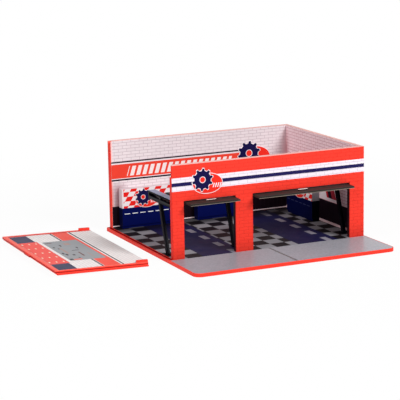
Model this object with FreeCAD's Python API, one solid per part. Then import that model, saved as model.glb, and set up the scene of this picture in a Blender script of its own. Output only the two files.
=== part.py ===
import FreeCAD, Part
import math
import os

# Open-topped model garage with two roller-hung doors and a loose side wall.
# Millimetres. X runs along the front wall, Y from the forecourt to the back wall, Z up.
# The origin is the middle of the tray's underside.

# Walls
garage_depth = 130.5
wall_height = 73.3
wall_thickness = 4.2
right_wall_thickness = 3.2
wall_edge_radius = 0.3
wall_card_thickness = 0.4
wall_card_edge = 1.0

# Tray that everything stands on
tray_thickness = 2.8
forecourt_depth = 48.0
left_ledge = 3.2
right_ledge = 1.0
back_ledge = 0.8
front_corner_radius = 6.0
back_corner_radius = 2.0
tray_edge_radius = 0.4
groove_depth = 1.4
groove_rib = 0.5
snap_gap = 0.15

# Printed cards let into the tray
floor_card_thickness = 0.5
floor_card_sink = 0.1
floor_card_gap = 0.15
forecourt_border = 0.6
joint_line_place = 82.2
joint_line_width = 0.5
joint_line_depth = 0.15

# Tongues under the walls and the pockets that take them
tongue_length = 8.0
tongue_thickness = 2.0
tongue_depth = 1.6
tongue_gap = 0.15

# Door openings, from the left
opening_height = 45.0
left_pier = 9.65
small_opening = 44.0
middle_pier = 14.75
large_opening = 86.6
right_pier = 13.0

# Doors
door_thickness = 1.6
door_side_gap = 1.2
small_door_shift = 0.2
large_door_shift = -0.6
door_lintel_gap = 0.3
door_floor_gap = 0.8
door_overhang = 10.3
door_tail = 7.0
door_tilt = 1.0
door_groove_width = 0.5
door_groove_depth = 0.3
door_groove_pitch = 11.0
rod_radius = 0.8
rod_to_door = 1.0
rod_end_gap = 0.3
knuckle_radius = 1.6
knuckle_length = 5.0
knuckle_inset = 1.0
running_gap = 0.05

# Door handles
handle_length = 8.3
handle_width = 1.2
handle_height = 1.0
handle_bar = 0.6
handle_post = 1.0
handle_edge_radius = 0.3
handle_from_edge = 6.2
handle_shift = -0.7

# Tracks that carry the doors
rail_length = 49.2
rail_width = 6.0
rail_above_rod = 2.8
rail_below_rod = 3.9
rail_side_gap = 0.8
rail_slot_end = 2.0
slot_gap = 0.1
roller_radius = 1.1
roller_side_gap = 0.3
leg_thickness = 2.6
leg_width = 3.4
leg_foot_place = 16.8
leg_head_place = 29.4
foot_length = 5.0
foot_width = 4.6
foot_thickness = 0.8

# Workbenches with a display board on top
bench_width = 45.0
bench_depth = 7.0
cabinet_height = 17.2
board_height = 16.0
kick_height = 2.1
kick_depth = 0.8
drawer_pitch = 7.0
pull_length = 4.7
pull_first = 1.8
pull_size = 0.5
pull_drop = 4.8
left_bench_place = 7.1
middle_bench_place = 75.6
right_bench_place = 66.8

# Oval signs with a round emblem breaking out at the upper left; each share says how far up the wall,
# or up the wall over the doors, the oval's middle is, and the emblem's sizes are shares of the oval's width
emblem_left_share = 0.164
emblem_up_share = 0.121
emblem_radius_share = 0.363
front_sign_width = 25.6
front_sign_height = 16.2
front_sign_place = 29.8
front_sign_share = 0.42
back_sign_width = 30.8
back_sign_height = 19.4
back_sign_place = 133.3
back_sign_share = 0.656
sign_thickness = 0.4

# Loose side wall, lying outer face down beside the tray, tipped a little by the rail on that face
side_wall_thickness = 3.2
side_skin_thickness = 1.2
side_rebate = 1.0
side_rim = 2.2
side_tongue = 1.2
side_wall_gap = 16.7
side_wall_shift = 1.4
side_wall_turn = -0.22
side_wall_tilt = 1.53
side_rail_place = 8.0
side_rail_width = 3.0
side_rail_inset = 12.0
hook_length = 9.2
hook_height = 1.8
notch_skin = 1.5
notch_end_gap = 0.3
lug_length = 13.0
lug_depth = 1.0
lug_thickness = 1.2

# Places that follow from the sizes above
front_wall_length = left_pier + small_opening + middle_pier + large_opening + right_pier
tray_length = left_ledge + front_wall_length + right_ledge
tray_depth = forecourt_depth + garage_depth + back_ledge
tray_left = -tray_length / 2
tray_front = -tray_depth / 2
wall_left = tray_left + left_ledge
wall_right = wall_left + front_wall_length
wall_front = tray_front + forecourt_depth
wall_back = wall_front + garage_depth
front_inner = wall_front + wall_thickness
back_inner = wall_back - wall_thickness
right_inner = wall_right - right_wall_thickness
floor_top = tray_thickness - floor_card_sink
small_left = wall_left + left_pier
small_right = small_left + small_opening
large_left = small_right + middle_pier
large_right = large_left + large_opening
lintel_height = tray_thickness + opening_height
rod_height = lintel_height - door_lintel_gap - door_thickness - rod_to_door
door_reach = rod_height - tray_thickness - door_floor_gap
rod_place = wall_front - door_overhang + door_reach
rail_bottom = rod_height - rail_below_rod
rail_top = rod_height + rail_above_rod
slot_half = roller_radius + slot_gap
side_inner_thickness = side_wall_thickness - side_skin_thickness
garage_middle = (wall_front + wall_back) / 2
wall_top = tray_thickness + wall_height
card_top = wall_top - wall_edge_radius
pier_middles = [(wall_left + small_left) / 2, (small_right + large_left) / 2, (large_right + wall_right) / 2]
back_tongues = [wall_left + front_wall_length * share for share in (0.15, 0.5, 0.85)]
right_tongues = [front_inner + (back_inner - front_inner) * share for share in (0.2, 0.8)]

os.makedirs("parts", exist_ok=True)


def block(x0, x1, y0, y1, z0, z1):
    corner = FreeCAD.Vector(x0, y0, z0)
    return Part.makeBox(x1 - x0, y1 - y0, z1 - z0, corner)


def rod_along_x(x0, x1, y, z, radius):
    return Part.makeCylinder(radius, x1 - x0, FreeCAD.Vector(x0, y, z), FreeCAD.Vector(1, 0, 0))


def outline_prism(points, way):
    corners = [FreeCAD.Vector(*p) for p in points]
    corners.append(corners[0])
    return Part.Face(Part.makePolygon(corners)).extrude(FreeCAD.Vector(*way))


def soften(solid, radius, wanted):
    edges = [edge for edge in solid.Edges if wanted(edge)]
    return solid.makeFillet(radius, edges)


def write(node, shape):
    shape.exportStep("parts/" + node + ".step")
    print(node, len(shape.Solids), "solid(s), volume", round(shape.Volume, 1))


# Tray
def corner_edge(edge, at_front):
    box = edge.BoundBox
    end = tray_front if at_front else -tray_front
    return box.ZLength > tray_thickness / 2 and abs(box.Center.y - end) < 0.1


def tray_slab():
    slab = block(tray_left, -tray_left, tray_front, -tray_front, 0, tray_thickness)
    slab = soften(slab, front_corner_radius, lambda edge: corner_edge(edge, True))
    slab = soften(slab, back_corner_radius, lambda edge: corner_edge(edge, False))
    return soften(slab, tray_edge_radius, lambda edge: edge.BoundBox.ZMin > tray_thickness - 0.01)


def floor_outline(gap, z0, z1):
    left = wall_left + snap_gap + groove_rib + gap
    main = block(left, right_inner - gap, front_inner + gap, back_inner - gap, z0, z1)
    small = block(small_left + gap, small_right - gap, wall_front + gap, front_inner + 2 * gap, z0, z1)
    large = block(large_left + gap, large_right - gap, wall_front + gap, front_inner + 2 * gap, z0, z1)
    return main.fuse([small, large]).removeSplitter()


def forecourt_outline(gap, z0, z1):
    edge = forecourt_border + gap
    card = block(tray_left + edge, -tray_left - edge, tray_front + edge, wall_front - gap, z0, z1)
    radius = front_corner_radius - forecourt_border
    return soften(card, radius, lambda edge: edge.BoundBox.ZLength > (z1 - z0) / 2
                  and edge.BoundBox.YMax < tray_front + front_corner_radius)


def wall_tongues(grow):
    """The front, back and right walls' tongues, in that order, or with grow their pockets."""
    long_half = tongue_length / 2 + grow
    thin_half = tongue_thickness / 2 + grow
    bottom = tray_thickness - tongue_depth - grow
    front_mid = wall_front + wall_thickness / 2
    back_mid = wall_back - wall_thickness / 2
    right_mid = wall_right - right_wall_thickness / 2
    front = [block(x - long_half, x + long_half, front_mid - thin_half, front_mid + thin_half,
                   bottom, tray_thickness) for x in pier_middles]
    back = [block(x - long_half, x + long_half, back_mid - thin_half, back_mid + thin_half,
                  bottom, tray_thickness) for x in back_tongues]
    right = [block(right_mid - thin_half, right_mid + thin_half, y - long_half, y + long_half,
                   bottom, tray_thickness) for y in right_tongues]
    return front, back, right


def side_wall_groove():
    """Groove and pocket in the tray for the side wall's tongue and lug."""
    outer = wall_left - side_inner_thickness - snap_gap
    floor = tray_thickness - groove_depth
    groove = block(outer, wall_left + snap_gap, wall_front + side_rebate - snap_gap,
                   wall_back - side_rebate + snap_gap, floor, tray_thickness)
    half = lug_length / 2 + snap_gap
    pocket = block(outer, outer + lug_thickness + 2 * snap_gap, garage_middle - half, garage_middle + half,
                   floor - lug_depth, floor)
    return groove.fuse(pocket)


def make_tray():
    card_bed = floor_top - floor_card_thickness
    cuts = [floor_outline(0, card_bed, tray_thickness), forecourt_outline(0, card_bed, tray_thickness),
            side_wall_groove()]
    for row in wall_tongues(tongue_gap):
        cuts.extend(row)
    return tray_slab().cut(cuts).removeSplitter()


def make_floor_card():
    return floor_outline(floor_card_gap, floor_top - floor_card_thickness, floor_top)


def make_forecourt_card():
    card = forecourt_outline(floor_card_gap, floor_top - floor_card_thickness, floor_top)
    line_x = wall_left + joint_line_place
    line = block(line_x - joint_line_width / 2, line_x + joint_line_width / 2, tray_front, wall_front,
                 floor_top - joint_line_depth, floor_top)
    return card.cut(line)


# Walls
def hook_notch(inner_y, outer_y):
    """Notch at a wall's open end, on its inner side, for a hook of the side wall."""
    low = min(inner_y, outer_y)
    high = max(inner_y, outer_y)
    depth = hook_height + notch_end_gap
    return block(wall_left, wall_left + depth, low, high, wall_top - hook_length - notch_end_gap, wall_top)


def top_or_open_end(edge):
    box = edge.BoundBox
    return box.ZMin > wall_top - 0.01 or (box.ZLength > wall_height / 2 and box.XMax < wall_left + 0.01)


def make_front_wall():
    wall = block(wall_left, wall_right, wall_front, front_inner, tray_thickness, wall_top)
    wall = soften(wall, wall_edge_radius, top_or_open_end)
    doorways = [block(small_left, small_right, wall_front, front_inner, 0, lintel_height),
                block(large_left, large_right, wall_front, front_inner, 0, lintel_height)]
    notch = hook_notch(front_inner, wall_front + notch_skin)
    return wall.cut(doorways + [notch]).fuse(wall_tongues(0)[0]).removeSplitter()


def make_back_wall():
    wall = block(wall_left, wall_right, back_inner, wall_back, tray_thickness, wall_top)
    wall = soften(wall, wall_edge_radius, top_or_open_end)
    notch = hook_notch(back_inner, wall_back - notch_skin)
    return wall.cut(notch).fuse(wall_tongues(0)[1]).removeSplitter()


def make_right_wall():
    wall = block(right_inner, wall_right, front_inner, back_inner, tray_thickness, wall_top)
    wall = soften(wall, wall_edge_radius, lambda edge: edge.BoundBox.ZMin > wall_top - 0.01
                  and edge.BoundBox.YLength > wall_thickness)
    return wall.fuse(wall_tongues(0)[2]).removeSplitter()


def make_back_card():
    return block(wall_left + wall_card_edge, right_inner, back_inner - wall_card_thickness, back_inner,
                 tray_thickness, card_top)


def make_right_card():
    return block(right_inner - wall_card_thickness, right_inner, front_inner,
                 back_inner - wall_card_thickness, tray_thickness, card_top)


def sign_plate(centre_x, centre_z, width, height, y0):
    centre = FreeCAD.Vector(centre_x, y0, centre_z)
    side = FreeCAD.Vector(centre_x + width / 2, y0, centre_z)
    up = FreeCAD.Vector(centre_x, y0, centre_z + height / 2)
    rim = Part.Wire([Part.Ellipse(side, up, centre).toShape()])
    oval = Part.Face(rim).extrude(FreeCAD.Vector(0, sign_thickness, 0))
    middle = FreeCAD.Vector(centre_x - width * emblem_left_share, y0, centre_z + width * emblem_up_share)
    emblem = Part.makeCylinder(width * emblem_radius_share, sign_thickness, middle, FreeCAD.Vector(0, 1, 0))
    return oval.fuse(emblem).removeSplitter()


def make_front_sign():
    centre = lintel_height + (wall_top - lintel_height) * front_sign_share
    return sign_plate(wall_left + front_sign_place, centre, front_sign_width, front_sign_height,
                      wall_front - sign_thickness)


def make_back_sign():
    centre = tray_thickness + wall_height * back_sign_share
    face = back_inner - wall_card_thickness
    return sign_plate(wall_left + back_sign_place, centre, back_sign_width, back_sign_height,
                      face - sign_thickness)


# Tracks: slotted rails out of the front wall, each with one raked leg
def make_track(low_x, high_x, leg_x):
    far = front_inner + rail_length
    rail = block(low_x, high_x, front_inner, far, rail_bottom, rail_top)
    slot_near = front_inner + (slot_half + door_lintel_gap + door_thickness + rod_to_door - roller_radius)
    slot_far = far - rail_slot_end - slot_half
    slot = block(low_x, high_x, slot_near, slot_far, rod_height - slot_half, rod_height + slot_half)
    ends = [rod_along_x(low_x, high_x, y, rod_height, slot_half) for y in (slot_near, slot_far)]
    rail = rail.cut([slot] + ends)
    foot_y = front_inner + leg_foot_place
    head_y = front_inner + leg_head_place
    leg = outline_prism([(leg_x, foot_y - leg_width, floor_top), (leg_x, foot_y, floor_top),
                         (leg_x, head_y, rail_bottom), (leg_x, head_y - leg_width, rail_bottom)],
                        (leg_thickness, 0, 0))
    foot_x = min(max(leg_x + leg_thickness / 2 - foot_width / 2, low_x), high_x - foot_width)
    foot = block(foot_x, foot_x + foot_width, foot_y - foot_length, foot_y,
                 floor_top, floor_top + foot_thickness)
    return rail.fuse([leg, foot]).removeSplitter()


# Doors, drawn level, then tipped about the rod as they hang
def tipped(shape):
    hung = shape.copy()
    hung.rotate(FreeCAD.Vector(0, rod_place, rod_height), FreeCAD.Vector(1, 0, 0), door_tilt)
    return hung


def make_door(opening_left, opening_right, shift):
    left = opening_left + door_side_gap + shift
    right = opening_right - door_side_gap + shift
    low_edge = rod_place - door_reach
    under = rod_height + rod_to_door
    panel = block(left, right, low_edge, rod_place + door_tail, under, under + door_thickness)
    grooves = []
    groove_y = low_edge + door_groove_pitch
    while groove_y < rod_place + door_tail - door_groove_pitch / 2:
        grooves.append(block(left, right, groove_y, groove_y + door_groove_width,
                             under + door_thickness - door_groove_depth, under + door_thickness))
        groove_y = groove_y + door_groove_pitch
    panel = panel.cut(grooves)
    starts = [left + knuckle_inset, (left + right - knuckle_length) / 2,
              right - knuckle_inset - knuckle_length]
    knuckles = []
    for start in starts:
        end = start + knuckle_length
        knuckles.append(rod_along_x(start, end, rod_place, rod_height, knuckle_radius))
        knuckles.append(block(start, end, rod_place - knuckle_radius, rod_place + knuckle_radius,
                              rod_height, under + door_thickness / 2))
    bore = rod_along_x(left, right, rod_place, rod_height, rod_radius + running_gap)
    return tipped(panel.fuse(knuckles).removeSplitter().cut(bore))


def make_handle(opening_left, opening_right, shift):
    middle = (opening_left + opening_right) / 2 + shift + handle_shift
    near = rod_place - door_reach + handle_from_edge
    face = rod_height + rod_to_door + door_thickness
    bar = block(middle - handle_length / 2, middle + handle_length / 2, near, near + handle_width,
                face, face + handle_height)
    grip = block(middle - handle_length / 2 + handle_post, middle + handle_length / 2 - handle_post,
                 near, near + handle_width, face, face + handle_height - handle_bar)
    bar = soften(bar, handle_edge_radius, lambda edge: edge.BoundBox.ZMin > face + handle_height - 0.01)
    return tipped(bar.cut(grip))


def make_rod(opening_left, opening_right):
    reach = rail_side_gap + rail_width - rod_end_gap
    return rod_along_x(opening_left - reach, opening_right + reach, rod_place, rod_height, rod_radius)


def make_rollers(opening_left, opening_right):
    rollers = []
    for rail_x in (opening_left - rail_side_gap - rail_width, opening_right + rail_side_gap):
        x0 = rail_x + roller_side_gap
        x1 = rail_x + rail_width - roller_side_gap
        roller = rod_along_x(x0, x1, rod_place, rod_height, roller_radius)
        rollers.append(roller.cut(rod_along_x(x0, x1, rod_place, rod_height, rod_radius + running_gap)))
    return Part.makeCompound(rollers)


# Workbenches, drawn along X with the back at y = 0 and turned where they stand
def make_cabinet():
    body = block(0, bench_width, -bench_depth, 0, 0, cabinet_height)
    kick = block(0, bench_width, -bench_depth, kick_depth - bench_depth, 0, kick_height)
    return body.cut(kick)


def make_board():
    top = cabinet_height + board_height
    board = block(0, bench_width, -bench_depth, 0, cabinet_height, top)
    return soften(board, wall_edge_radius, lambda edge: edge.BoundBox.ZMin > top - 0.01)


def make_pulls():
    count = int((bench_width - pull_first) // drawer_pitch)
    height = cabinet_height - pull_drop
    pulls = []
    for index in range(count):
        x0 = pull_first + index * drawer_pitch
        pulls.append(block(x0, x0 + pull_length, -bench_depth - pull_size, -bench_depth,
                           height - pull_size / 2, height + pull_size / 2))
    return Part.makeCompound(pulls)


def on_back_wall(shape, place):
    stood = shape.copy()
    stood.translate(FreeCAD.Vector(wall_left + place, back_inner - wall_card_thickness, floor_top))
    return stood


def on_right_wall(shape, place):
    stood = shape.copy()
    stood.rotate(FreeCAD.Vector(0, 0, 0), FreeCAD.Vector(0, 0, 1), -90)
    face = right_inner - wall_card_thickness
    stood.translate(FreeCAD.Vector(face, wall_front + place + bench_width, floor_top))
    return stood


# Loose side wall, drawn standing flat: x from its foot to its top edge, y along it, z through it
def laid_down(shape):
    laid = shape.copy()
    laid.rotate(FreeCAD.Vector(wall_height, 0, 0), FreeCAD.Vector(0, 1, 0), side_wall_tilt)
    laid.rotate(FreeCAD.Vector(0, 0, 0), FreeCAD.Vector(0, 0, 1), side_wall_turn)
    top_edge = tray_left - side_wall_gap
    laid.translate(FreeCAD.Vector(top_edge - wall_height, wall_front + side_wall_shift, 0))
    return laid


def side_card_bed(gap):
    rim = side_rim + gap
    near = side_rebate + rim
    bed = side_wall_thickness - wall_card_thickness
    return block(rim, wall_height, near, garage_depth - near, bed, side_wall_thickness)


def make_side_wall():
    skin = block(0, wall_height, 0, garage_depth, 0, side_skin_thickness)
    inner = block(-side_tongue, wall_height, side_rebate, garage_depth - side_rebate,
                  side_skin_thickness, side_wall_thickness)
    middle = garage_depth / 2
    lug = block(-side_tongue - lug_depth, -side_tongue, middle - lug_length / 2, middle + lug_length / 2,
                side_skin_thickness, side_skin_thickness + lug_thickness)
    near_low = notch_skin + snap_gap
    near_high = wall_thickness - snap_gap
    hooks = []
    for y0, y1 in ((near_low, near_high), (garage_depth - near_high, garage_depth - near_low)):
        hooks.append(block(wall_height - hook_length, wall_height, y0, y1,
                           side_wall_thickness - wall_card_thickness, side_wall_thickness + hook_height))
    rail_end = side_rail_place + side_rail_width
    drop = (wall_height - rail_end) * math.tan(math.radians(side_wall_tilt))
    rail = block(side_rail_place, rail_end, side_rail_inset, garage_depth - side_rail_inset, -drop, 0)
    body = skin.fuse([inner, lug, rail]).cut(side_card_bed(0))
    return laid_down(body.fuse(hooks).removeSplitter())


def make_side_card():
    corners = []
    hook_reach = wall_thickness + snap_gap
    for y0, y1 in ((0, hook_reach), (garage_depth - hook_reach, garage_depth)):
        corners.append(block(wall_height - hook_length - snap_gap, wall_height, y0, y1,
                             0, side_wall_thickness))
    return laid_down(side_card_bed(snap_gap).cut(corners))


write("tray", make_tray())
write("floor_card", make_floor_card())
write("forecourt_card", make_forecourt_card())
write("front_wall", make_front_wall())
write("back_wall", make_back_wall())
write("right_wall", make_right_wall())
write("back_wall_card", make_back_card())
write("right_wall_card", make_right_card())
write("front_sign", make_front_sign())
write("back_sign", make_back_sign())

reach = rail_side_gap + rail_width
between = (small_right + large_left - leg_thickness) / 2
write("left_track", make_track(small_left - reach, small_left - rail_side_gap, small_left - reach))
write("middle_track", make_track(small_right + rail_side_gap, large_left - rail_side_gap, between))
outer_end = large_right + reach
write("right_track", make_track(large_right + rail_side_gap, outer_end, outer_end - leg_thickness))

openings = {"small": (small_left, small_right, small_door_shift),
            "large": (large_left, large_right, large_door_shift)}
for name, (left, right, shift) in openings.items():
    write(name + "_door_rod", make_rod(left, right))
    write(name + "_door_rollers", make_rollers(left, right))
    write(name + "_door_panel", make_door(left, right, shift))
    write(name + "_door_handle", make_handle(left, right, shift))

benches = {"left": (on_back_wall, left_bench_place), "middle": (on_back_wall, middle_bench_place),
           "right": (on_right_wall, right_bench_place)}
for name, (stand, place) in benches.items():
    write(name + "_bench_cabinet", stand(make_cabinet(), place))
    write(name + "_bench_board", stand(make_board(), place))
    write(name + "_bench_pulls", stand(make_pulls(), place))

write("side_wall", make_side_wall())
write("side_wall_card", make_side_card())
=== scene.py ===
import math

import bmesh
import bpy
from mathutils import Matrix, Vector


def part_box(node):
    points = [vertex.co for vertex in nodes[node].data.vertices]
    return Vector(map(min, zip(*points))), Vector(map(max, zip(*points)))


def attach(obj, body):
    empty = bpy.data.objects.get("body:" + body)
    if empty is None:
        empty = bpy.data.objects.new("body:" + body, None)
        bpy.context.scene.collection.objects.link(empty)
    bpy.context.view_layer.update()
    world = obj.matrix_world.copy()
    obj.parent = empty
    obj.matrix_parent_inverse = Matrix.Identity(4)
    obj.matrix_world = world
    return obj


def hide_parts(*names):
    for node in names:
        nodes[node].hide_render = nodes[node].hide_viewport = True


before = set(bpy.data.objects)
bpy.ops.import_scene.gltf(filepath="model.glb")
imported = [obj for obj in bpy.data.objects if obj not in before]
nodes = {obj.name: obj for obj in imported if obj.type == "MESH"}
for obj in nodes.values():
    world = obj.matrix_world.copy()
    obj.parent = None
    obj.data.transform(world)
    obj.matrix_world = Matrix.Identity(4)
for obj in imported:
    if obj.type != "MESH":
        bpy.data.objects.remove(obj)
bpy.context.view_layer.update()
scene = bpy.context.scene
mm = 0.001
print("frame loaded,", len(nodes), "solids")

# places on the garage that several pieces share, in metres
wallLeft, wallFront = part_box("front_wall")[0].x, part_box("front_wall")[0].y
wallRight, frontInner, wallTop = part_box("front_wall")[1]
backInner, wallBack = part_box("back_wall")[0].y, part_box("back_wall")[1].y
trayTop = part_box("tray")[1].z

# how surfaces that carry prints are turned: their own X runs to the right and Y up, seen from in front
upright = math.radians(90)
facingFront, facingBack = (upright, 0, 0), (upright, 0, math.radians(180))
facingRight, facingLeft = (upright, 0, math.radians(90)), (upright, 0, math.radians(-90))
# the loose wall's card: its corner, and how it is turned
looseWall = ((-0.17599, -0.04025, 0.005156), (math.radians(-1.53), 0, math.radians(-90.22)))


# small helpers

class Network:
    # adds nodes to a tree, and joins their inputs, by name or number, to values or sockets
    def __init__(self, tree):
        self.tree = tree

    def add(self, kind, inputs=None, **settings):
        node = self.tree.nodes.new(kind)
        count = len(self.tree.nodes)
        node.location = (200 * (count // 6), -260 * (count % 6))
        for name, value in settings.items():
            setattr(node, name, value)
        for key, value in (inputs or {}).items():
            if isinstance(value, bpy.types.NodeSocket):
                self.tree.links.new(value, node.inputs[key])
            else:
                node.inputs[key].default_value = value
        return node

    def math(self, operation, *values):
        return self.add("ShaderNodeMath", dict(enumerate(values)), operation=operation).outputs[0]

    def plus(self, first, second):
        return self.math("ADD", first, second)

    def minus(self, first, second):
        return self.math("SUBTRACT", first, second)

    def times(self, *factors):
        product = factors[0]
        for factor in factors[1:]:
            product = self.math("MULTIPLY", product, factor)
        return product

    def over(self, value, divisor):
        return self.math("DIVIDE", value, divisor)

    # the masks are 1 where they hold and 0 elsewhere, and times() keeps what several of them share
    def above(self, value, limit):
        return self.math("GREATER_THAN", value, limit)

    def below(self, value, limit):
        return self.math("LESS_THAN", value, limit)

    def within(self, value, low, high):
        return self.times(self.above(value, low), self.below(value, high))

    def block(self, along, up, alongSpan, upSpan):
        return self.times(self.within(along, *alongSpan), self.within(up, *upSpan))

    def repeated(self, value, pitch):
        # the share of a pitch that has gone by
        return self.math("FRACT", self.over(value, pitch))

    def rise(self, value, start, stop):
        # 0 up to start, 1 from stop on
        inputs = {"Value": value, "From Min": start, "From Max": stop}
        return self.add("ShaderNodeMapRange", inputs).outputs["Result"]

    def paint(self, mask, under, over):
        return self.add("ShaderNodeMix", {"Factor": mask, 6: under, 7: over}, data_type="RGBA").outputs[2]

    def layers(self, under, inks):
        # inks laid over one another, each as (mask, ink)
        for mask, over in inks:
            under = self.paint(mask, under, over)
        return under

    def scaled(self, colour, gain):
        return self.add("ShaderNodeVectorMath", {0: colour, 3: gain}, operation="SCALE").outputs[0]

    def vector(self, *values):
        return self.add("ShaderNodeCombineXYZ", dict(enumerate(values))).outputs[0]

    def place(self):
        return self.add("ShaderNodeTexCoord").outputs["Object"]

    def parts(self, place=None):
        # the X, Y and Z of a place, or of the shaded point itself
        return self.add("ShaderNodeSeparateXYZ", {0: self.place() if place is None else place}).outputs

    def noise(self, place, scale, detail):
        inputs = {"Vector": place, "Scale": scale, "Detail": detail}
        return self.add("ShaderNodeTexNoise", inputs).outputs["Fac"]

    def sway(self, noise, amount):
        # a noise brought down around 0
        return self.times(self.minus(noise, 0.5), amount)


def ink(red, green, blue):
    # a colour as it looks on screen, 0 to 255
    def linear(value):
        value = value / 255
        return value / 12.92 if value <= 0.04045 else ((value + 0.055) / 1.055) ** 2.4
    return (linear(red), linear(green), linear(blue), 1)


white, black = (1, 1, 1, 1), (0, 0, 0, 1)


def inMetres(**sizes):
    # sizes given in mm, alone or as spans
    return {name: tuple(part * mm for part in size) if isinstance(size, tuple) else size * mm
            for name, size in sizes.items()}


def newObject(name, data):
    made = bpy.data.objects.new(name, data)
    scene.collection.objects.link(made)
    return made


def dress(mesh, material):
    mesh.materials.clear()
    mesh.materials.append(material)


def addPiece(name, mesh, material, body, replaces=()):
    piece = newObject(name, mesh)
    dress(mesh, material)
    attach(piece, body)
    if replaces:
        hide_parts(*replaces)


def plainMesh(piece):
    # the piece as Blender sees it with its modifiers on, as a plain mesh
    bpy.context.view_layer.update()
    view = bpy.context.evaluated_depsgraph_get()
    return bpy.data.meshes.new_from_object(piece.evaluated_get(view), depsgraph=view)


def removePiece(piece):
    data = piece.data
    bpy.data.objects.remove(piece)
    if isinstance(data, bpy.types.Curve):
        bpy.data.curves.remove(data)
    elif data.users == 0:
        bpy.data.meshes.remove(data)


def cleanCopy(node):
    # a CAD node's loose triangles, merged and with flat faces made whole
    shape = bmesh.new()
    shape.from_mesh(nodes[node].data)
    bmesh.ops.remove_doubles(shape, verts=shape.verts, dist=1e-6)
    bmesh.ops.dissolve_limit(shape, angle_limit=math.radians(0.6), verts=shape.verts, edges=shape.edges)
    return shape


def asMesh(shape, name):
    mesh = bpy.data.meshes.new(name)
    shape.to_mesh(mesh)
    shape.free()
    return mesh


def bevelled(shape, name, width):
    # rounds the edges of a bmesh and gives back a mesh with smooth bevels and flat faces
    mesh = asMesh(shape, name)
    mesh.polygons.foreach_set("use_smooth", [True] * len(mesh.polygons))
    maker = newObject(name + "Maker", mesh)
    bevel = maker.modifiers.new("roundEdges", "BEVEL")
    bevel.width = width
    bevel.segments = 2
    bevel.limit_method = "ANGLE"
    bevel.angle_limit = math.radians(32)
    bevel.harden_normals = True
    result = plainMesh(maker)
    removePiece(maker)
    result.name = name
    return result


def joinMeshes(name, meshes):
    shape = bmesh.new()
    for mesh in meshes:
        shape.from_mesh(mesh)
    joined = asMesh(shape, name)
    for mesh in meshes:
        bpy.data.meshes.remove(mesh)
    return joined


def standing(corner, turn):
    # from a print's own plane to its place on the garage
    rotation = Matrix.Rotation(turn[2], 4, "Z") @ Matrix.Rotation(turn[0], 4, "X")
    return Matrix.Translation(Vector(corner)) @ rotation


def flatPlate(name, outlines, thickness, place, edge=0.0):
    # closed outlines in the plane, inner ones as holes, as a plate from the surface outwards
    curve = bpy.data.curves.new(name, "CURVE")
    curve.dimensions = "2D"
    curve.fill_mode = "BOTH"
    curve.extrude = thickness / 2 - edge
    curve.bevel_depth = edge
    curve.bevel_resolution = 1
    curve.offset = -edge
    for outline in outlines:
        spline = curve.splines.new("POLY")
        spline.points.add(len(outline) - 1)
        for point, (x, y) in zip(spline.points, outline):
            point.co = (x, y, 0, 1)
        spline.use_cyclic_u = True
    maker = newObject(name, curve)
    mesh = plainMesh(maker)
    removePiece(maker)
    shape = bmesh.new()
    shape.from_mesh(mesh)
    bmesh.ops.remove_doubles(shape, verts=shape.verts, dist=1e-7)
    bmesh.ops.recalc_face_normals(shape, faces=shape.faces)
    bmesh.ops.translate(shape, verts=shape.verts, vec=(0, 0, thickness / 2))
    bmesh.ops.transform(shape, matrix=place, verts=shape.verts)
    shape.to_mesh(mesh)
    shape.free()
    mesh.name = name
    return mesh


def runTree(tree, name, values, place):
    # runs a geometry tree on an empty mesh with the given inputs, and stands the result in its place
    maker = newObject(name, bpy.data.meshes.new(name))
    modifier = maker.modifiers.new(name, "NODES")
    modifier.node_group = tree
    for item in tree.interface.items_tree:
        if item.item_type == "SOCKET" and item.in_out == "INPUT" and item.name in values:
            modifier[item.identifier] = values[item.name]
    mesh = plainMesh(maker)
    removePiece(maker)
    mesh.transform(place)
    mesh.name = name
    return mesh


def newGroup(name, kind, inputs, outputs):
    # an empty node group with named sockets, as (label, kind of socket), and what its input node gives
    tree = bpy.data.node_groups.new(name, kind)
    for way, sockets in (("INPUT", inputs), ("OUTPUT", outputs)):
        for label, socket in sockets:
            tree.interface.new_socket(label, in_out=way, socket_type="NodeSocket" + socket)
    net = Network(tree)
    return net, net.add("NodeGroupInput").outputs


def newTree(name, floats, integers=()):
    # an empty geometry tree that is also given the material to finish with
    inputs = [(label, "Float") for label in floats] + [(label, "Int") for label in integers]
    return newGroup(name, "GeometryNodeTree", inputs + [("Finish", "Material")], [("Geometry", "Geometry")])


def endTree(net, geometry, finish):
    real = net.add("GeometryNodeRealizeInstances", {0: geometry})
    painted = net.add("GeometryNodeSetMaterial", {"Geometry": real.outputs[0], "Material": finish})
    net.add("NodeGroupOutput", {0: painted.outputs[0]})
    return net.tree


def emptyNodes(owner):
    owner.use_nodes = True
    owner.node_tree.nodes.clear()
    return Network(owner.node_tree)


def newFinish(name):
    material = bpy.data.materials.new(name)
    return material, emptyNodes(material)


# camera, matched to the photograph

shot = {
    "place": (-0.55533, -1.11871, 0.29494),
    "turn": -24.713,    # degrees about the upright
    "dip": 11.800,
    "roll": -1.0384,
    "lens": 142.80,
    "sensor": 36,
    "nearest": 0.05,
}
cameraData = bpy.data.cameras.new("camera")
cameraData.lens = shot["lens"]
cameraData.sensor_width = shot["sensor"]
cameraData.clip_start = shot["nearest"]
camera = newObject("camera", cameraData)
camera.matrix_world = (Matrix.Translation(shot["place"])
                       @ Matrix.Rotation(math.radians(shot["turn"]), 4, "Z")
                       @ Matrix.Rotation(math.radians(90 - shot["dip"]), 4, "X")
                       @ Matrix.Rotation(math.radians(shot["roll"]), 4, "Z"))
scene.camera = camera
scene.view_settings.view_transform = "Standard"


# studio: pale floor, white surround, soft lamps

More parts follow.
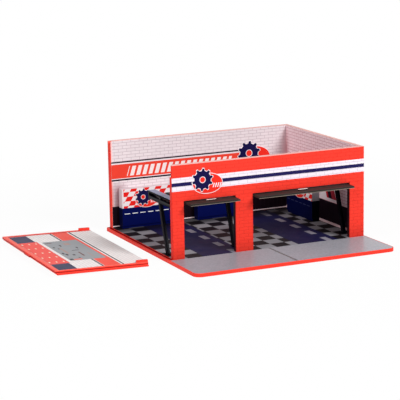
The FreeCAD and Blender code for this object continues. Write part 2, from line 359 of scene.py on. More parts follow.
studio = {
    "floorSize": 3.0,
    "floorColour": ink(240, 240, 240),
    "whitening": (0.95, 1.0),    # how far the seen floor is lifted to white, near the garage and away
    "whiteFrom": (0.16, 0.45),
    "lookAt": (0, 0, 0.03),    # where the lamps point
    "surround": 0.2,    # the light that the white surround gives
    "key": {"place": (0.66, -1.48, 1.2), "size": 0.75, "power": 33.4},
    "fill": {"place": (-0.95, -0.35, 0.5), "size": 0.5, "power": 5.8},
    "top": {"place": (0.1, 0.2, 1.6), "size": 1.2, "power": 1.5},
}


def seenRay(net):
    path = net.add("ShaderNodeLightPath").outputs
    either = net.math("MAXIMUM", path["Is Camera Ray"], path["Is Glossy Ray"])
    return net.math("MAXIMUM", either, path["Is Transmission Ray"])


def makeStudio():
    world = bpy.data.worlds.new("surround")
    net = emptyNodes(world)
    lighting = net.add("ShaderNodeBackground", {"Color": white, "Strength": studio["surround"]})
    shown = net.add("ShaderNodeBackground", {"Color": white, "Strength": 1.0})
    mix = net.add("ShaderNodeMixShader", {0: seenRay(net), 1: lighting.outputs[0], 2: shown.outputs[0]})
    net.add("ShaderNodeOutputWorld", {0: mix.outputs[0]})
    scene.world = world

    half = studio["floorSize"] / 2
    mesh = bpy.data.meshes.new("floor")
    corners = [(-half, -half, 0), (half, -half, 0), (half, half, 0), (-half, half, 0)]
    mesh.from_pydata(corners, [], [(0, 1, 2, 3)])
    floor = newObject("floor", mesh)
    material, net = newFinish("paperSweep")
    paper = net.add("ShaderNodeBsdfDiffuse", {"Color": studio["floorColour"]})
    glow = net.add("ShaderNodeEmission", {"Color": white, "Strength": 1.0})
    away = net.add("ShaderNodeVectorMath", {0: net.place()}, operation="LENGTH").outputs["Value"]
    near, far = studio["whiteFrom"]
    least, most = studio["whitening"]
    ramp = net.add("ShaderNodeMapRange", {"Value": away, "From Min": near, "From Max": far, "To Min": least,
                                          "To Max": most}, interpolation_type="SMOOTHSTEP")
    lifted = net.times(seenRay(net), ramp.outputs[0])
    mix = net.add("ShaderNodeMixShader", {0: lifted, 1: paper.outputs[0], 2: glow.outputs[0]})
    net.add("ShaderNodeOutputMaterial", {0: mix.outputs[0]})
    mesh.materials.append(material)

    for name in ("key", "fill", "top"):
        lamp = bpy.data.lights.new(name, "AREA")
        lamp.shape = "DISK"
        lamp.size = studio[name]["size"]
        lamp.energy = studio[name]["power"]
        holder = newObject(name, lamp)
        place = Vector(studio[name]["place"])
        holder.location = place
        holder.rotation_euler = (Vector(studio["lookAt"]) - place).to_track_quat("-Z", "Y").to_euler()


makeStudio()
print("camera and studio ready")


# effects that several finishes share

surfaceLook = [("Colour", "Color"), ("Roughness", "Float"), ("Height", "Float")]
skin = {"slow": (45.0, 3.0), "fine": (3500.0, 2.0), "flow": (160.0, 1.0),    # noises, as (scale, detail)
        "roughSway": 0.14, "flowHeight": 0.25, "bump": (0.25, 0.04 * mm)}
card = {"fibre": (2600.0, 3.0), "uneven": (120.0, 4.0), "waves": (30.0, 1.0), "toneSway": 0.10,
        "roughSway": 0.2, "fibreHeight": 0.35, "bump": (0.12, 0.06 * mm), "face": -0.08 * mm}


def mouldedSkinEffect():
    # moulded plastic: slow tone changes, a fine grain, and soft unevenness left by the tool
    net, given = newGroup(
        "mouldedSkin", "ShaderNodeTree",
        [("Colour", "Color"), ("Mottle", "Float"), ("Grain", "Float"), ("Roughness", "Float")], surfaceLook)
    place = net.place()
    slow, fine, flow = [net.noise(place, *skin[key]) for key in ("slow", "fine", "flow")]
    tone = net.scaled(given["Colour"], net.plus(1.0, net.sway(slow, given["Mottle"])))
    rough = net.plus(given["Roughness"], net.sway(flow, skin["roughSway"]))
    height = net.plus(net.times(fine, given["Grain"]), net.times(flow, skin["flowHeight"]))
    net.add("NodeGroupOutput", {"Colour": tone, "Roughness": rough, "Height": height})
    return net.tree


def cardFaceEffect():
    # varnished print on card: paper fibre, uneven ink and a slightly wavy varnish
    net, given = newGroup("cardFace", "ShaderNodeTree", [("Print", "Color"), ("Roughness", "Float")],
                          surfaceLook)
    place = net.place()
    fibre, uneven, waves = [net.noise(place, *card[key]) for key in ("fibre", "uneven", "waves")]
    spread = net.plus(net.sway(uneven, card["toneSway"]), net.sway(fibre, card["toneSway"]))
    tone = net.scaled(given["Print"], net.plus(1.0, spread))
    rough = net.plus(given["Roughness"], net.sway(uneven, card["roughSway"]))
    height = net.plus(net.times(fibre, card["fibreHeight"]), waves)
    net.add("NodeGroupOutput", {"Colour": tone, "Roughness": rough, "Height": height})
    return net.tree


def brickPrintEffect():
    # printed brickwork in a plane: along and up in metres
    net, given = newGroup(
        "brickPrint", "ShaderNodeTree",
        [("Along", "Float"), ("Up", "Float"), ("Brick", "Color"), ("Joint", "Color")], [("Colour", "Color")])
    plane = net.vector(given["Along"], given["Up"])
    courses = net.add("ShaderNodeTexBrick", {
        "Vector": plane, "Scale": 100.0, "Brick Width": 0.755, "Row Height": 0.259, "Mortar Size": 0.02,
        "Mortar Smooth": 0.3, "Bias": 0.0, "Color1": white, "Color2": (0.96, 0.96, 0.96, 1),
        "Mortar": (0.9, 0.9, 0.9, 1)}, offset=0.5)
    toned = net.add("ShaderNodeMix", {"Factor": 1.0, 6: given["Brick"], 7: courses.outputs["Color"]},
                    data_type="RGBA", blend_type="MULTIPLY").outputs[2]
    net.add("NodeGroupOutput", {"Colour": net.paint(courses.outputs["Fac"], toned, given["Joint"])})
    return net.tree


effects = {"mouldedSkin": mouldedSkinEffect(), "cardFace": cardFaceEffect(), "brickPrint": brickPrintEffect()}


def useEffect(net, name, inputs):
    return net.add("ShaderNodeGroup", inputs, node_tree=effects[name]).outputs


def printedBricks(net, along, up, printed):
    inputs = {"Along": along, "Up": up, "Brick": printed["brick"], "Joint": printed["joint"]}
    return useEffect(net, "brickPrint", inputs)["Colour"]


dull, satin = 0.04, 0.08    # how strongly a surface mirrors, as Specular IOR Level; the shader's own is 0.5


def finishSurface(net, look, bump, shine, metal=0.0):
    bumped = net.add("ShaderNodeBump", {"Height": look["Height"], "Strength": bump[0], "Distance": bump[1]})
    shader = net.add("ShaderNodeBsdfPrincipled", {
        "Base Color": look["Colour"], "Roughness": look["Roughness"], "Metallic": metal,
        "Specular IOR Level": shine, "Normal": bumped.outputs[0]})
    net.add("ShaderNodeOutputMaterial", {0: shader.outputs[0]})


def mouldedPlastic(name, colour, roughness, shine, mottle=0.06, grain=0.5, paintOver=None):
    material, net = newFinish(name)
    base = paintOver(net, colour) if paintOver else colour
    look = useEffect(net, "mouldedSkin", {"Colour": base, "Mottle": mottle, "Grain": grain,
                                          "Roughness": roughness})
    finishSurface(net, look, skin["bump"], shine)
    return material


def surfacePlane(net, corner, turn):
    # how far along and up a print a point lies, and how far in front of it
    local = net.add("ShaderNodeMapping", {"Vector": net.place(), "Location": corner, "Rotation": turn},
                    vector_type="TEXTURE")
    return net.parts(local.outputs[0])


def inkBands(net, height, full, bands):
    # flat bands of ink, each from the height given up to the next one
    ramp = net.add("ShaderNodeValToRGB", {0: net.over(height, full)})
    ramp.color_ramp.interpolation = "CONSTANT"
    stops = ramp.color_ramp.elements
    for index, (start, colour) in enumerate(bands):
        stop = stops[index] if index < 2 else stops.new(1.0)
        stop.position = min(start / full, 1.0)
        stop.color = colour
    return ramp.outputs[0]


def dressWithPrint(node, name, corner, turn, drawPrint, roughness=0.45, shine=dull, edge=ink(205, 200, 196)):
    # puts a print on a CAD card's face; the card's edges stay bare
    material, net = newFinish(name)
    along, up, proud = surfacePlane(net, corner, turn)
    colour = net.paint(net.above(proud, card["face"]), edge, drawPrint(net, along, up))
    look = useEffect(net, "cardFace", {"Print": colour, "Roughness": roughness})
    finishSurface(net, look, card["bump"], shine)
    dress(nodes[node].data, material)


# red moulded walls and tray

relief = 0.14 * mm
smallestBrick = 0.3 * mm
onFace = 0.02 * mm    # how near a wall's face its points lie
brickSizes = {    # the brick tree's inputs, in metres and shares
    "First Joint": 0.455 * mm, "Course": 2.66 * mm, "Brick": 7.55 * mm, "Mortar": 0.36 * mm, "Relief": relief,
    "Chamfer Along": 0.965, "Chamfer Up": 0.88,
}
wallLook = {    # depths behind the outer face, and sizes from the wall's left end and its top
    "jointDepth": (0.4 * relief, 1.6 * relief), "jointShade": 0.14, "jointInk": ink(90, 6, 14),
    # painted light: the left end's ink is painted shade, the notch's ink paints its faces paler against their
    # shadow, and the top's ink is a painted highlight
    "endShadeInk": ink(222, 40, 28), "notchLightInk": ink(248, 93, 77), "topHighlightInk": ink(236, 178, 172),
    **inMetres(endSkin=0.03, notchWide=2.3, notchTall=9.6, notchDepth=(1.45, 4.3), topSkin=0.34, edge=0.32),
}
tomato = ink(238, 59, 45)
stripes = {    # heights above the table
    **inMetres(white=(55.65, 66.01), navy=(59.4, 62.2), skin=0.25),
    "whiteInk": ink(236, 224, 234), "navyInk": ink(30, 24, 78), "jointInk": ink(214, 204, 216),
}
beyond = 6.5 * mm    # how far the doors' rods reach past the doorways
doorway = {size: (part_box(size + "_door_rod")[0].x + beyond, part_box(size + "_door_rod")[1].x - beyond)
           for size in ("small", "large")}
lintel = trayTop + 45 * mm
# painted shade: the doorways' sides behind a red edge are painted near black
jambShade = {"ink": ink(28, 10, 20), **inMetres(depth=(0.9, 4.7), slack=0.1)}
# painted shade at the front wall's foot, darker towards the table
foot = {"height": 11 * mm, "strength": 0.26, "ink": ink(30, 4, 4)}
# painted shade inside the groove for the loose wall
groove = {"X": (wallLeft - 2.2 * mm, wallLeft + 0.2 * mm), "Y": (wallFront, wallBack),
          "Z": (1 * mm, trayTop - 0.04 * mm), "ink": ink(162, 22, 20)}


def mortarAndPaintedLight(axis, face, way):
    # the joints between the bricks lie a little behind the wall's face, and are darker; the top is painted
    # pale, a painted highlight, and the left end deeper, painted shade, save for the notch, painted paler as
    # painted light
    def paintOver(net, base):
        parts = net.parts()
        depth = net.times(net.minus(face, parts[axis]), way)
        joint = net.times(net.within(depth, *wallLook["jointDepth"]), wallLook["jointShade"])
        # painted shade on the left end, painted light on the notch's faces, and a painted highlight on the
        # top
        end = net.below(parts["X"], wallLeft + wallLook["endSkin"])
        paintedNotchLight = net.times(net.below(parts["X"], wallLeft + wallLook["notchWide"]),
                          net.within(depth, *wallLook["notchDepth"]),
                          net.above(parts["Z"], wallTop - wallLook["notchTall"]))
        top = net.above(parts["Z"], wallTop - wallLook["topSkin"])
        return net.layers(base, [(joint, wallLook["jointInk"]), (end, wallLook["endShadeInk"]),
                                 (paintedNotchLight, wallLook["notchLightInk"]), (top, wallLook["topHighlightInk"])])
    return paintOver


def spanPaint(axis, low, high, colour):
    # another colour where the garage's own X, Y or Z lies in the span
    def paintOver(net, base):
        return net.paint(net.within(net.parts()[axis], low, high), base, colour)
    return paintOver


def stripesAndPaintedShade(net, base):
    # the front wall's stripes; behind a red edge its doorways' sides are painted near black as painted shade,
    # and its foot is painted darker as painted shade
    parts = net.parts()
    outside = net.below(parts["Y"], wallFront + stripes["skin"])
    pale, deep = [net.times(outside, net.within(parts["Z"], *stripes[key])) for key in ("white", "navy")]
    jointed = mortarAndPaintedLight("Y", wallFront, -1.0)(net, base)
    depth = net.minus(parts["Y"], wallFront)
    whiteInk = net.paint(net.within(depth, *wallLook["jointDepth"]), stripes["whiteInk"], stripes["jointInk"])
    slack = jambShade["slack"]
    openings = [net.within(parts["X"], low - slack, high + slack) for low, high in doorway.values()]
    # painted shade on the doorways' sides
    shadedJambs = net.times(net.within(depth, *jambShade["depth"]), net.below(parts["Z"], lintel + slack),
                      net.math("MAXIMUM", *openings))
    # painted shade: darker towards the wall's foot
    low = net.times(net.rise(parts["Z"], trayTop + foot["height"], trayTop), foot["strength"])
    return net.layers(jointed, [(pale, whiteInk), (deep, stripes["navyInk"]), (shadedJambs, jambShade["ink"]),
                                (low, foot["ink"])])


def trayGrooveShadePaint(net, base):
    # the groove for the loose wall is painted dark inside, as painted shade
    parts = net.parts()
    inside = net.times(*[net.within(parts[axis], *groove[axis]) for axis in "XYZ"])
    return net.paint(inside, base, groove["ink"])


def brickReliefTree():
    labels = ["Left", "Right", "Bottom", "Top", *brickSizes]
    net, given = newTree("brickRelief", labels)
    left, right, bottom, top, firstJoint, course, length, mortar, depth, alongShare, upShare = [
        given[label] for label in labels]

    def countOf(low, high, pitch):
        return net.plus(net.math("CEIL", net.over(net.minus(high, low), pitch)), 2.0)
    columns = countOf(left, right, length)
    rows = countOf(bottom, top, course)
    line = net.add("GeometryNodeMeshLine", {"Count": net.times(columns, rows), "Offset": (0, 0, 0)},
                   mode="OFFSET")
    index = net.add("GeometryNodeInputIndex").outputs[0]
    row = net.math("FLOOR", net.over(net.plus(index, 0.5), columns))
    column = net.minus(index, net.times(row, columns))

    # rows and columns are counted from fixed joints, so that every panel's courses line up
    level = net.plus(row, net.math("FLOOR", net.over(net.minus(bottom, firstJoint), course)))
    odd = net.math("MODULO", net.math("ABSOLUTE", level), 2.0)
    firstColumn = net.math("FLOOR", net.over(left, length))
    shift = net.minus(net.plus(column, firstColumn), net.times(odd, 0.5))

    def span(joint, pitch, low, high):
        # a brick's middle and size one way, cut off at the panel's end
        start = net.plus(joint, net.times(mortar, 0.5))
        stop = net.minus(net.plus(start, pitch), mortar)
        start = net.math("MAXIMUM", start, low)
        stop = net.math("MINIMUM", stop, high)
        return net.times(net.plus(start, stop), 0.5), net.minus(stop, start)
    across, wide = span(net.times(shift, length), length, left, right)
    up, tall = span(net.plus(net.times(level, course), firstJoint), course, bottom, top)
    kept = net.times(net.above(wide, smallestBrick), net.above(tall, smallestBrick))
    cloud = net.add("GeometryNodeSetPosition", {
        "Geometry": line.outputs[0], "Position": net.vector(across, up, net.times(depth, -0.5))}).outputs[0]
    stored = (("brickSize", net.vector(wide, tall, depth), "FLOAT_VECTOR"), ("kept", kept, "FLOAT"))
    for label, value, kind in stored:
        cloud = net.add("GeometryNodeStoreNamedAttribute", {"Geometry": cloud, "Name": label, "Value": value},
                        data_type=kind, domain="POINT").outputs[0]
    read = {label: net.add("GeometryNodeInputNamedAttribute", {"Name": label}, data_type=kind).outputs[0]
            for label, value, kind in stored}
    slivers = net.below(read["kept"], 0.5)
    cloud = net.add("GeometryNodeDeleteGeometry", {"Geometry": cloud, "Selection": slivers},
                    domain="POINT").outputs[0]

    # one brick, a block whose outer face is a little smaller than its foot
    block = net.add("GeometryNodeMeshCube", {"Size": (1, 1, 1)})
    spot = net.add("GeometryNodeInputPosition").outputs[0]
    shrink = net.vector(alongShare, upShare, 1.0)
    smaller = net.add("ShaderNodeVectorMath", {0: spot, 1: shrink}, operation="MULTIPLY").outputs[0]
    brick = net.add("GeometryNodeSetPosition", {
        "Geometry": block.outputs[0], "Selection": net.above(net.parts(spot)["Z"], 0.0), "Position": smaller})
    laid = net.add("GeometryNodeInstanceOnPoints", {"Points": cloud, "Instance": brick.outputs[0],
                                                    "Scale": read["brickSize"]})
    return endTree(net, laid.outputs[0], given["Finish"])


brickTree = brickReliefTree()


def wallWithBricks(side, panels, axis, face, outwards, turn, finish):
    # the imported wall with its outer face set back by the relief, and bricks standing out to where it was,
    # over each panel, given as (left, right, bottom, top)
    name = side + "Wall"
    shape = cleanCopy(side + "_wall")
    for vertex in shape.verts:
        if abs(vertex.co[axis] - face) < onFace:
            vertex.co[axis] -= outwards * relief
    body = asMesh(shape, name + "Body")
    corner = [0, 0, 0]
    corner[axis] = face
    place = standing(corner, turn)
    bricks = [runTree(brickTree, name + "Bricks",
                      dict(brickSizes, Left=left, Right=right, Bottom=bottom, Top=top, Finish=finish), place)
              for left, right, bottom, top in panels]
    mesh = joinMeshes(name, [body, joinMeshes(name + "Bricks", bricks)])
    addPiece(name, mesh, finish, "garage", [side + "_wall"])


def makeWalls():
    left, top = wallLeft + wallLook["edge"], wallTop - wallLook["edge"]
    small, large = doorway["small"], doorway["large"]
    finishes = {side: mouldedPlastic(name, tomato, 0.44, satin, paintOver=paint) for side, name, paint in (
        ("back", "tomatoBackWallPlastic", mortarAndPaintedLight("Y", wallBack, 1.0)),
        ("right", "tomatoRightWallPlastic", mortarAndPaintedLight("X", wallRight, 1.0)),
        ("front", "stripedWallPlastic", stripesAndPaintedShade))}
    front = [(left, small[0], trayTop, lintel), (small[1], large[0], trayTop, lintel),
             (large[1], wallRight, trayTop, lintel), (left, wallRight, lintel, top)]
    wallWithBricks("front", front, 1, wallFront, -1, facingFront, finishes["front"])
    wallWithBricks("back", [(-wallRight, -left, trayTop, top)], 1, wallBack, 1, facingBack, finishes["back"])
    wallWithBricks("right", [(frontInner, backInner, trayTop, top)], 0, wallRight, 1, facingRight,
                   finishes["right"])
    dress(nodes["tray"].data, mouldedPlastic("tomatoTrayPlastic", tomato, 0.42, satin, paintOver=trayGrooveShadePaint))


makeWalls()
print("walls and tray ready")


# printed floor and forecourt

floorPrint = {    # behind the front wall's face and, in the lists, mm right of its left end
    # painted shade: the floor is painted darker near the back wall, where the benches and wall shade it
    **inMetres(row=13.09, firstRow=-1.05, width=168, dimFrom=28, dimTo=14),
    "backShadeStrength": 0.78, "backShadeInk": ink(12, 8, 10),
    "light": ink(144, 142, 148), "dark": ink(20, 15, 18), "navy": ink(22, 21, 60), "dash": ink(144, 140, 152),
    "navyLanes": [(25.2, 60.9), (107.8, 144.2)], "dashes": [(50.4, 55.3), (133.7, 138.6)],
    "lightA": [(0, 12.25), (60.9, 63.0), (75.6, 88.9), (101.5, 107.8), (152.6, 168)],
    "lightB": [(12.25, 25.2), (63.0, 75.6), (88.9, 101.5), (144.2, 152.6)],
}
# the left and right inks make a painted sheen, lighter towards the right
forecourt = {"grain": (620.0, 3.0), "speckle": 0.75, "left": ink(145, 145, 154), "right": ink(162, 162, 170),
             "jointInk": ink(10, 8, 10), **inMetres(joint=(81.3, 83.0))}


def drawFloor(net, along, back):
    # two kinds of row by turns, each with its own light squares, over black and two navy lanes
    def columns(key):
        stops = [(0, black)]
        for low, high in floorPrint[key]:
            stops += [(low * mm, white), (high * mm, black)]
        stops.sort(key=lambda stop: stop[0])
        return inkBands(net, along, floorPrint["width"], stops)
    inA = net.below(net.repeated(net.minus(back, floorPrint["firstRow"]), floorPrint["row"] * 2), 0.5)
    lightA = net.times(inA, columns("lightA"))
    lightB = net.times(net.minus(1.0, inA), columns("lightB"))
    dash = net.times(inA, columns("dashes"))
    end = backInner - wallFront    # the floor is dim by the back wall
    # painted shade, growing towards the back wall
    paintedShade = net.rise(back, end - floorPrint["dimFrom"], end - floorPrint["dimTo"])
    paintedShade = net.times(paintedShade, floorPrint["backShadeStrength"])
    return net.layers(floorPrint["dark"], [
        (columns("navyLanes"), floorPrint["navy"]),
        (net.math("MAXIMUM", lightA, lightB), floorPrint["light"]),
        (dash, floorPrint["dash"]), (paintedShade, floorPrint["backShadeInk"])])


def drawForecourt(net, along, back):
    # speckled concrete in two slabs, painted lighter towards the right as a painted sheen
    gain = net.plus(1.0, net.sway(net.noise(net.place(), *forecourt["grain"]), forecourt["speckle"]))
    paintedSheenTone = net.paint(net.over(along, floorPrint["width"]), forecourt["left"], forecourt["right"])
    return net.paint(net.within(along, *forecourt["joint"]), net.scaled(paintedSheenTone, gain), forecourt["jointInk"])


floorCorner, flat = (wallLeft, wallFront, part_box("floor_card")[1].z), (0, 0, 0)
dressWithPrint("floor_card", "checkedFloorCard", floorCorner, flat, drawFloor, roughness=0.5)
dressWithPrint("forecourt_card", "greyForecourtCard", floorCorner, flat, drawForecourt, roughness=0.36,
               shine=0.3)
print("floor prints ready")


# printed wall cards

boardStart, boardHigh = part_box("left_bench_board")[0].x - wallLeft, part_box("left_bench_board")[1].z
printHeight = 80 * mm    # more than the walls' height
wallPrint = {    # heights above the table, and places along the wall
    **inMetres(strip=(3.15, 4.2), wainscot=20.65, lineLow=(42.1, 43.3), band=(43.9, 55.65),
               lineHigh=(57.0, 58.3), jointUp=1.53, grooves=4.2, edge=2.1),
    "grooveShare": 0.07, "grooveInk": ink(34, 22, 33), "brick": ink(232, 220, 223),
    "joint": ink(192, 172, 180), "bandInk": ink(232, 66, 50), "lineInk": ink(20, 14, 30),
    "wainscotInk": ink(24, 12, 21),
    "stripInk": ink(244, 220, 224), "edgeInk": ink(252, 206, 204),
    # painted shade: the right wall's shadow in the corner, the left board's shadow on the wall, and a redder
    # shade at the left end
    "shades": [    # soft darker strips: place, reach, fall-off, where they start, how softly, ink
        (163.5 * mm, 6.5 * mm, 1.6, wallTop, 20 * mm, ink(226, 182, 189)),
        (boardStart, 8 * mm, 0.7, boardHigh + 6.4 * mm, 7.5 * mm, ink(162, 126, 132)),
        (0, 2.4 * mm, 0.5, boardHigh + 8 * mm, 12 * mm, ink(228, 130, 124))],
}
rightPrintAndLight = {
    # painted light: lighter brick and strip than the back card's, and pinker brick and joints, a painted red
    # reflection
    **wallPrint, **inMetres(wainscot=22.2, strip=(3.0, 5.2), edge=0.25), "brick": ink(255, 222, 228),
    # painted shade: the edge ink deepens the red corner line between the cards
    "joint": ink(204, 140, 150), "stripInk": ink(255, 218, 222), "edgeInk": ink(186, 112, 118),
    "shades": [(0, 8 * mm, 1.6, wallTop, 20 * mm, ink(190, 122, 130))],
}
bandBars = {"share": 0.62, "lean": 0.32, "ink": ink(244, 226, 224),
            **inMetres(bandEnd=133, span=(14, 109), up=(45.7, 53.7), pitch=5.6)}
poster = {
    **inMetres(along=(60.5, 88.5), up=(22.9, 34.4), foot=2.2), "lean": 0.45, "paper": ink(244, 228, 232),
    "strokes": [((12.5 * mm, 15.6 * mm), ink(206, 40, 52)), ((15.6 * mm, 21.4 * mm), ink(24, 8, 26)),
                ((21.4 * mm, 28.2 * mm), ink(186, 50, 66))],
}


def drawWall(net, along, up, printed):
    # brickwork over a dark wainscot with a pale strip near its foot
    colour = printedBricks(net, along, net.minus(up, printed["jointUp"]), printed)
    colour = net.paint(net.below(along, printed["edge"]), colour, printed["edgeInk"])
    # painted shade, in soft darker strips
    for place, reach, power, start, soft, shadeInk in printed["shades"]:
        away = net.over(net.math("ABSOLUTE", net.minus(along, place)), reach)
        deep = net.math("POWER", net.math("MAXIMUM", net.minus(1.0, away), 0.0), power)
        colour = net.paint(net.times(deep, net.rise(up, start, start - soft)), colour, shadeInk)
    dark, strip = printed["wainscotInk"], printed["strip"]
    wainscot = inkBands(net, up, printHeight, [(0, dark), (strip[0], printed["stripInk"]), (strip[1], dark)])
    boards = net.below(net.repeated(along, printed["grooves"]), printed["grooveShare"])
    grooves = net.times(boards, net.within(up, strip[1], printed["wainscot"]))
    return net.layers(colour, [(net.below(up, printed["wainscot"]), wainscot),
                               (grooves, printed["grooveInk"])])


def drawBackWall(net, along, up):
    # the red band and its two lines end under the sign, and white bars lean along it
    plain, line = wallPrint["brick"], wallPrint["lineInk"]
    low, band, high = wallPrint["lineLow"], wallPrint["band"], wallPrint["lineHigh"]
    before = net.times(net.below(along, bandBars["bandEnd"]), net.within(up, low[0], high[1]))
    bands = inkBands(net, up, printHeight, [(0, line), (low[1], plain), (band[0], wallPrint["bandInk"]),
                                            (band[1], plain), (high[0], line)])
    lean = net.minus(along, net.times(net.minus(up, band[0]), bandBars["lean"]))
    bars = net.times(net.below(net.repeated(lean, bandBars["pitch"]), bandBars["share"]),
                     net.block(lean, up, bandBars["span"], bandBars["up"]))
    return net.layers(drawWall(net, along, up, wallPrint), [(before, bands), (bars, bandBars["ink"])])


def drawRightWall(net, along, up):
    # a plain poster with slanting red and black strokes stands over the wainscot
    left, low = poster["along"][0], poster["up"][0]
    sheet = net.block(along, up, poster["along"], poster["up"])
    slant = net.plus(net.minus(along, left), net.times(net.minus(up, low), poster["lean"]))
    high = net.times(sheet, net.above(up, low + poster["foot"]))
    strokes = [(net.times(high, net.within(slant, *span)), strokeInk)
               for span, strokeInk in poster["strokes"]]
    return net.layers(drawWall(net, along, up, rightPrintAndLight), [(sheet, poster["paper"]), *strokes])


backFace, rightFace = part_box("back_wall_card")[0].y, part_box("right_wall_card")[0].x
dressWithPrint("back_wall_card", "backWallCard", (wallLeft, backFace, 0), facingFront, drawBackWall)
dressWithPrint("right_wall_card", "rightWallCard", (rightFace, backFace, 0), facingLeft, drawRightWall)
print("wall prints ready")


# oval signs, each with a cog emblem breaking out at the upper left

sign = {    # shares of the oval's width, and sizes in metres
    "emblemLeft": 0.164, "emblemUp": 0.121, "emblemRadius": 0.363, "height": 0.633, "root": 0.8, "hole": 0.3,
    "teeth": 10, "tooth": (0.06, 0.22, 0.48, 0.64), "haloInside": 0.8, "bars": 4, "barFirst": (0.16, -0.14),
    "barPitch": 0.075, "barSize": (0.034, 0.13), "barLean": 0.045,
    "white": ink(238, 228, 232), "red": ink(236, 46, 34), "navy": ink(22, 18, 66),
    **inMetres(halo=0.62, rim=0.5, plate=0.22, field=0.26, marks=0.3, cog=0.36, cogEdge=0.02),
}
signWhite = mouldedPlastic("signWhiteInk", sign["white"], 0.5, dull, mottle=0.03)
signRed = mouldedPlastic("signRedInk", sign["red"], 0.5, dull, mottle=0.03)
signNavy = mouldedPlastic("signNavyInk", sign["navy"], 0.5, dull, mottle=0.05)


def oval(width, height, x=0.0, y=0.0, count=72):
    angles = [2 * math.pi * k / count for k in range(count)]
    return [(x + width / 2 * math.cos(angle), y + height / 2 * math.sin(angle)) for angle in angles]


def cog(radius, x, y, grow=0.0):
    points = []
    root, step = radius * sign["root"], 2 * math.pi / sign["teeth"]
    for tooth in range(sign["teeth"]):
        for share, reach in zip(sign["tooth"], (root, radius, radius, root)):
            angle = step * (tooth + share)
            points.append((x + (reach + grow) * math.cos(angle), y + (reach + grow) * math.sin(angle)))
    return points


def leaningBar(number, scale):
    (x, y), (width, height) = sign["barFirst"], sign["barSize"]
    x, lean = x + sign["barPitch"] * number, sign["barLean"]
    corners = [(x, y), (x + width, y), (x + width + lean, y + height), (x + lean, y + height)]
    return [(across * scale, up * scale) for across, up in corners]


def makeSign(name, width, place, replaces=(), scale=1.0):
    height = width * sign["height"]
    spot = (-sign["emblemLeft"] * width, sign["emblemUp"] * width)
    halo, rim = sign["halo"] * scale, sign["rim"] * scale
    reach = sign["emblemRadius"] * width - halo
    hole = 2 * reach * sign["hole"]
    smaller = hole - 2 * sign["haloInside"] * halo
    plate = flatPlate(name + "Plate", [oval(width, height)], sign["plate"], place)
    addPiece(name + "Plate", plate, signWhite, "garage", replaces)
    field = flatPlate(name + "Field", [oval(width - 2 * rim, height - 2 * rim)], sign["field"], place)
    addPiece(name + "Field", field, signRed, "garage")
    ring = [cog(reach, *spot, grow=halo), oval(smaller, smaller, *spot, count=32)]
    marks = [flatPlate(name + "Mark", outlines, sign["marks"], place)
             for outlines in (ring, *([leaningBar(number, width)] for number in range(sign["bars"])))]
    addPiece(name + "Marks", joinMeshes(name + "Marks", marks), signWhite, "garage")
    wheel = [cog(reach, *spot), oval(hole, hole, *spot, count=32)]
    wheel = flatPlate(name + "Cog", wheel, sign["cog"], place, sign["cogEdge"])
    addPiece(name + "Cog", wheel, signNavy, "garage")


def makeSigns():
    for name, node in (("frontSign", "front_sign"), ("backSign", "back_sign")):
        low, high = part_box(node)
        reach = sign["emblemLeft"] + sign["emblemRadius"]    # how far left of the oval's middle it goes
        width = (high.x - low.x) / (reach + 0.5)
        middle = (low.x + reach * width, high.y, high.z - (sign["emblemUp"] + sign["emblemRadius"]) * width)
        makeSign(name, width, standing(middle, facingFront), [node])


makeSigns()
print("signs ready")


# door tracks, doors, rods and rollers

railTop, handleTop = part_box("left_track")[1].z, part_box("small_door_handle")[1].z
rod = {"stretch": (60, 5000, 5000), "grain": (1.0, 3.0), "dark": ink(8, 8, 10), "light": ink(22, 22, 26),
       "roughness": 0.22, "roughSpread": 0.2, "bump": (0.2, 0.03 * mm), "shine": 0.5}
doorLook = {    # how far each bevel and each painted highlight reaches
    **inMetres(trackBevel=0.18, panelBevel=0.22, handleBevel=0.12, railFace=0.12, handleFace=0.3,
               edgeSkin=0.1, lipDepth=0.3, lipHeight=0.38),
    # painted highlights: the rails' tops, the handles' faces and the doors' lips
    "railGlintInk": ink(158, 162, 190), "handleGlintInk": ink(240, 216, 212), "lipGlintInk": ink(138, 126, 114),
}
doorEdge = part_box("small_door_panel")[0].y
lipFoot = min(vertex.co.z for vertex in nodes["small_door_panel"].data.vertices
              if vertex.co.y < doorEdge + doorLook["edgeSkin"])


def doorLipGlintPaint(net, base):
    # the leading edge's lower corner is painted pale, a painted highlight
    parts = net.parts()
    corner = net.times(net.below(parts["Y"], doorEdge + doorLook["lipDepth"]),
                       net.below(parts["Z"], lipFoot + doorLook["lipHeight"]))
    return net.paint(corner, base, doorLook["lipGlintInk"])


def brushedRod():
    material, net = newFinish("brushedRodSteel")
    drawn = net.add("ShaderNodeMapping", {"Vector": net.place(), "Scale": rod["stretch"]})
    lines = net.noise(drawn.outputs[0], *rod["grain"])
    look = {"Colour": net.paint(lines, rod["dark"], rod["light"]), "Height": lines,
            "Roughness": net.plus(rod["roughness"], net.times(lines, rod["roughSpread"]))}
    finishSurface(net, look, rod["bump"], rod["shine"], metal=1.0)
    return material


